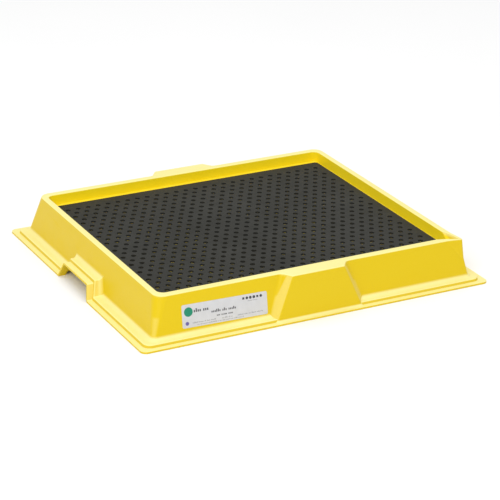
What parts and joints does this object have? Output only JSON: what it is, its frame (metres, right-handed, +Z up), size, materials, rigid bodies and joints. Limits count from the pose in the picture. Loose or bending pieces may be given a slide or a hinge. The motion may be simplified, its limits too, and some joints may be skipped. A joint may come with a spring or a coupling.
{
  "type": "spill containment pallet",
  "caption": "Low rectangular spill containment pallet: a moulded sump tray with a stepped flange, finger gaps and a pouring spout, and a lift-out perforated grating on support blocks.",
  "frame": {"origin": "middle of the base, on the floor plane", "axes": "+Z up, +X along the long side, -Y towards the side with the label"},
  "size_m": [0.644, 0.555, 0.076],
  "materials": {
    "tray_plastic": "satin yellow moulded polyethylene",
    "grating_plastic": "smooth black sheet with a low sheen",
    "support_plastic": "matt black moulding",
    "label_film": "satin light grey printed film"
  },
  "bodies": {
    "tray": {"tray": "tray_plastic", "label": "label_film"},
    "grating": {"grating_sheet": "grating_plastic", "centre_support": "support_plastic", "front_support": "support_plastic", "back_support": "support_plastic", "left_support": "support_plastic", "right_support": "support_plastic"}
  },
  "joints": [
    {"name": "grating_lift", "type": "slide", "parent": "tray", "child": "grating", "axis": [0, 0, 1], "range_m": [0, 0.12]}
  ]
}
